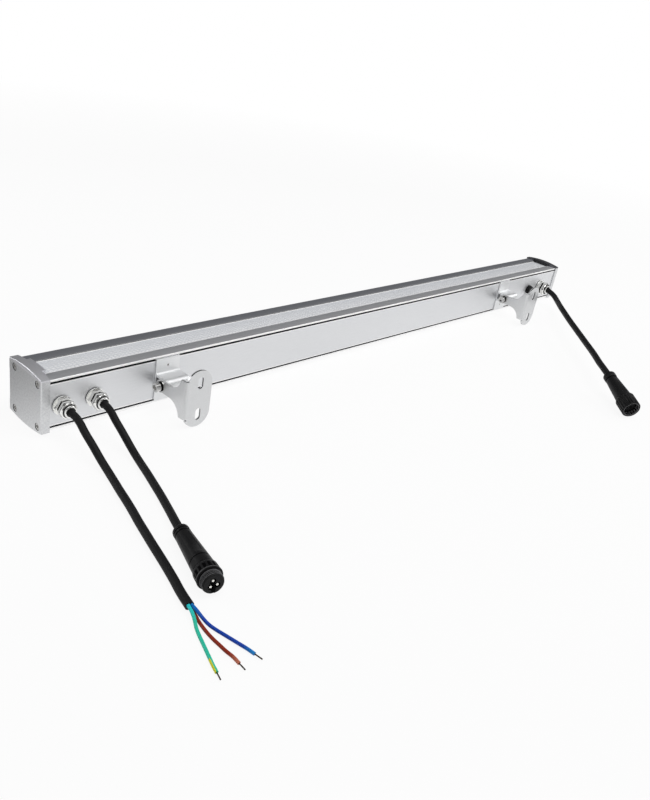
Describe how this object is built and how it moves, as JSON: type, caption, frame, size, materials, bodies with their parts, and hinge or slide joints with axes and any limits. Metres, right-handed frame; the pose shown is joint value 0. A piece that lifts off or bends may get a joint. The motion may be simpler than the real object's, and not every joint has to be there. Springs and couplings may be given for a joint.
{
  "type": "outdoor wall washer light",
  "caption": "Linear outdoor wall washer light: a silver aluminium bar with a prismatic cover, end caps, sliding tilting brackets, cable glands and black leads with waterproof connectors.",
  "frame": {"origin": "on the surface that the light stands on, under the middle of the box round the bar and its brackets", "axes": "+X along the bar from the two-gland end to the single-gland end, -Y out of the side with the glands and brackets, +Z out of the light-giving face"},
  "size_m": [1.0557, 0.401, 0.0645],
  "materials": {
    "housing": "satin silver anodised",
    "cap": "cast, bead blasted, silver grey",
    "clip": "satin silver anodised",
    "bracket": "smooth light silver grey",
    "cover": "clear with moulded prisms underneath",
    "sealant": "white silicone",
    "lens": "clear",
    "led_board": "white solder mask",
    "led": "yellow phosphor",
    "driver_board": "green solder mask",
    "driver_parts": "black moulded parts",
    "inner_leads": "red insulation",
    "gasket": "matte black",
    "steel": "stainless",
    "nickel": "bright nickel plate",
    "plug": "black, fine grain",
    "cable": "matte black sheath",
    "core_earth": "green insulation, yellow at the tip",
    "core_live": "brown insulation",
    "core_neutral": "blue insulation",
    "strands": "tinned strands",
    "connector": "black moulded nylon",
    "contacts": "bright"
  },
  "bodies": {
    "body": {"housing": "housing", "cover": "cover", "cover_seal": "sealant", "lens_bar": "lens", "led_board": "led_board", "leds": "led", "driver_board": "driver_board", "driver_parts": "driver_parts", "inner_leads": "inner_leads", "end_cap_left": "cap", "end_cap_right": "cap", "end_gasket_left": "gasket", "end_gasket_right": "gasket", "end_screws_left": "steel", "end_screws_right": "steel", "gland_washers": "gasket", "gland_locknuts": "nickel", "power_gland_body": "nickel", "power_gland_nut": "nickel", "power_gland_seal": "gasket", "input_gland_body": "nickel", "input_gland_nut": "nickel", "input_gland_seal": "gasket", "output_gland_body": "nickel", "output_gland_nut": "nickel", "output_gland_seal": "gasket", "breather_plug": "plug", "power_cable": "cable", "core_earth": "core_earth", "core_live": "core_live", "core_neutral": "core_neutral", "core_ends": "strands", "input_cable": "cable", "input_grip": "connector", "input_collar": "connector", "input_nose": "connector", "input_pins": "contacts", "output_cable": "cable", "output_grip": "connector", "output_spigot": "connector", "output_contacts": "contacts"},
    "left_clip": {"left_clip": "clip", "left_set_screw": "steel", "left_pivot_bolt": "steel", "left_flat_washer": "steel", "left_spring_washer": "steel"},
    "left_bracket": {"left_bracket": "bracket"},
    "right_clip": {"right_clip": "clip", "right_set_screw": "steel", "right_pivot_bolt": "steel", "right_flat_washer": "steel", "right_spring_washer": "steel"},
    "right_bracket": {"right_bracket": "bracket"},
    "coupling_nut": {"coupling_nut": "connector"}
  },
  "joints": [
    {"name": "left_clip_slide", "type": "slide", "parent": "body", "child": "left_clip", "axis": [1, 0, 0], "range_m": [-0.04, 0.25]},
    {"name": "right_clip_slide", "type": "slide", "parent": "body", "child": "right_clip", "axis": [1, 0, 0], "range_m": [-0.25, 0.06]},
    {"name": "left_tilt", "type": "hinge", "parent": "left_clip", "child": "left_bracket", "pos_m": [-0.3555, -0.017, 0.03225], "axis": [-1, 0, 0], "range_deg": [-90, 90]},
    {"name": "right_tilt", "type": "hinge", "parent": "right_clip", "child": "right_bracket", "pos_m": [0.321, -0.017, 0.03225], "axis": [-1, 0, 0], "range_deg": [-90, 90]},
    {"name": "coupling_spin", "type": "hinge", "parent": "body", "child": "coupling_nut", "pos_m": [0.15459, -0.30889, 0.01514], "axis": [-0.5421, -0.8067, -0.2351], "continuous": true}
  ]
}
